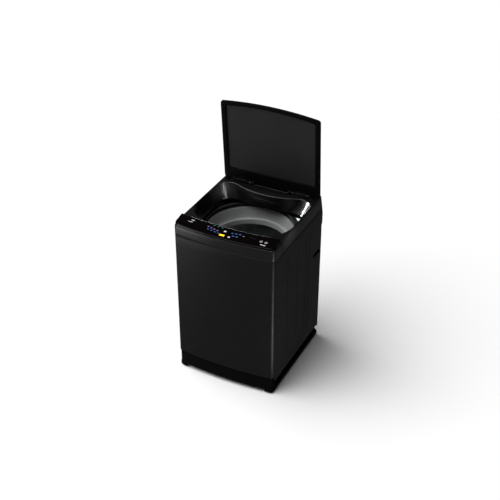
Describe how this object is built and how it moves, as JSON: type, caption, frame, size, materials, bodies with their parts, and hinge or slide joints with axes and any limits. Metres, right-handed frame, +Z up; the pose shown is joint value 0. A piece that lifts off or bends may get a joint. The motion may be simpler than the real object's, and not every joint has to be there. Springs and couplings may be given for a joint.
{
  "type": "top load washing machine",
  "caption": "Top load washing machine with a bowed steel cabinet, glass lid on rear hinges, sloped control strip and a spinning drum with pulsator.",
  "frame": {"origin": "on the floor under the middle of the machine, with the lid open as stored", "axes": "+Z up, front of the machine towards -Y, +X to the right seen from the front"},
  "size_m": [0.572, 0.644, 1.4132],
  "materials": {
    "graphite_steel": "satin baked enamel on steel sheet",
    "zinc_steel": "zinc plated steel",
    "moulded_black": "satin moulded ABS",
    "plinth_black": "fine textured moulded plastic",
    "rubber": "matt black rubber",
    "gloss_black": "high gloss moulded ABS",
    "fascia_graphite": "satin metallic graphite plastic",
    "silver_trim": "bright anodised strip",
    "button_white": "satin white button caps",
    "board_green": "solder mask on circuit board",
    "white_plastic": "natural white moulded plastic",
    "smoked_glass": "dark smoked toughened glass",
    "tub_grey": "grey filled polypropylene",
    "cast_aluminium": "as-cast aluminium",
    "stainless": "brushed stainless sheet",
    "silver_plastic": "silver grey moulded plastic",
    "pulsator_grey": "grey moulded polypropylene"
  },
  "bodies": {
    "cabinet": {"cabinet_shell": "graphite_steel", "rear_panel": "zinc_steel", "rear_shroud": "moulded_black", "base_frame": "plinth_black", "cord_gland": "rubber", "foot_rear_left": "rubber", "foot_rear_right": "rubber", "hand_grip_left": "plinth_black", "hand_grip_right": "plinth_black", "top_cover": "gloss_black", "rear_console": "gloss_black", "front_fascia": "fascia_graphite", "control_panel": "gloss_black", "control_trim": "silver_trim", "control_board": "board_green", "inlet_valve": "white_plastic", "lid_switch": "plinth_black", "hinge_bracket_left": "moulded_black", "hinge_bracket_right": "moulded_black", "lid_damper_left": "plinth_black", "lid_damper_right": "plinth_black", "drain_outlet": "plinth_black", "suspension_rod_front_left": "zinc_steel", "suspension_rod_front_right": "zinc_steel", "suspension_rod_rear_left": "zinc_steel", "suspension_rod_rear_right": "zinc_steel", "suspension_spring_front_left": "zinc_steel", "suspension_spring_front_right": "zinc_steel", "suspension_spring_rear_left": "zinc_steel", "suspension_spring_rear_right": "zinc_steel"},
    "front_left_foot": {"foot_front_left": "rubber"},
    "front_right_foot": {"foot_front_right": "rubber"},
    "power_button": {"power_button": "button_white"},
    "start_button": {"start_button": "button_white"},
    "drawer": {"detergent_drawer": "gloss_black"},
    "lid": {"lid_frame": "moulded_black", "lid_glass": "smoked_glass", "hinge_pin_left": "zinc_steel", "hinge_pin_right": "zinc_steel"},
    "tub": {"outer_tub": "tub_grey", "tub_cover": "tub_grey", "tub_seal": "rubber", "drive_frame": "zinc_steel", "gearbox": "cast_aluminium", "motor": "cast_aluminium", "drive_belt": "rubber", "drain_valve": "white_plastic", "drain_motor": "white_plastic", "drain_hose": "rubber"},
    "drum": {"wash_basket": "stainless", "balance_ring": "silver_plastic", "basket_hub": "cast_aluminium"},
    "agitator": {"pulsator": "pulsator_grey", "pulsator_cap": "silver_plastic", "wash_shaft": "zinc_steel", "drive_pulley": "cast_aluminium"},
    "motor_rotor": {"motor_pulley": "zinc_steel"},
    "drain_pull": {"drain_rod": "zinc_steel"},
    "left_filter": {"lint_filter_left": "white_plastic"},
    "right_filter": {"lint_filter_right": "white_plastic"}
  },
  "joints": [
    {"name": "lid_hinge", "type": "hinge", "parent": "cabinet", "child": "lid", "pos_m": [0, 0.255, 0.925], "axis": [1, 0, 0], "range_deg": [-8, 85.5]},
    {"name": "power_press", "type": "slide", "parent": "cabinet", "child": "power_button", "axis": [0, 0, -1], "range_m": [0, 0.0015], "stiffness_N_per_m": 600, "springref_m": -0.001},
    {"name": "start_press", "type": "slide", "parent": "cabinet", "child": "start_button", "axis": [0, 0, -1], "range_m": [0, 0.0015], "stiffness_N_per_m": 600, "springref_m": -0.001},
    {"name": "drawer_slide", "type": "slide", "parent": "cabinet", "child": "drawer", "axis": [0, -1, 0], "range_m": [0, 0.085]},
    {"name": "front_left_foot_screw", "type": "slide", "parent": "cabinet", "child": "front_left_foot", "axis": [0, 0, -1], "range_m": [0, 0.012]},
    {"name": "front_right_foot_screw", "type": "slide", "parent": "cabinet", "child": "front_right_foot", "axis": [0, 0, -1], "range_m": [0, 0.012]},
    {"name": "tub_bounce", "type": "slide", "parent": "cabinet", "child": "tub", "axis": [0, 0, 1], "range_m": [-0.012, 0.012], "stiffness_N_per_m": 16000, "springref_m": 0.015, "deforming": ["suspension_spring_front_left", "suspension_spring_front_right", "suspension_spring_rear_left", "suspension_spring_rear_right"]},
    {"name": "drum_spin", "type": "hinge", "parent": "tub", "child": "drum", "pos_m": [0, -0.006, 0.3], "axis": [0, 0, 1], "continuous": true},
    {"name": "agitator_spin", "type": "hinge", "parent": "tub", "child": "agitator", "pos_m": [0, -0.006, 0.25], "axis": [0, 0, 1], "continuous": true},
    {"name": "motor_spin", "type": "hinge", "parent": "tub", "child": "motor_rotor", "pos_m": [0.165, -0.006, 0.08], "axis": [0, 0, 1], "continuous": true},
    {"name": "left_filter_tilt", "type": "hinge", "parent": "drum", "child": "left_filter", "pos_m": [-0.2335, -0.006, 0.38], "axis": [0, 1, 0], "range_deg": [0, 12]},
    {"name": "right_filter_tilt", "type": "hinge", "parent": "drum", "child": "right_filter", "pos_m": [0.2335, -0.006, 0.38], "axis": [0, -1, 0], "range_deg": [0, 12]},
    {"name": "drain_rod_pull", "type": "slide", "parent": "tub", "child": "drain_pull", "axis": [0, -1, 0], "range_m": [0, 0.01], "stiffness_N_per_m": 500, "springref_m": -0.004}
  ],
  "couplings": [
    {"joint": "motor_spin", "follows": "agitator_spin", "ratio": 3.1364}
  ]
}
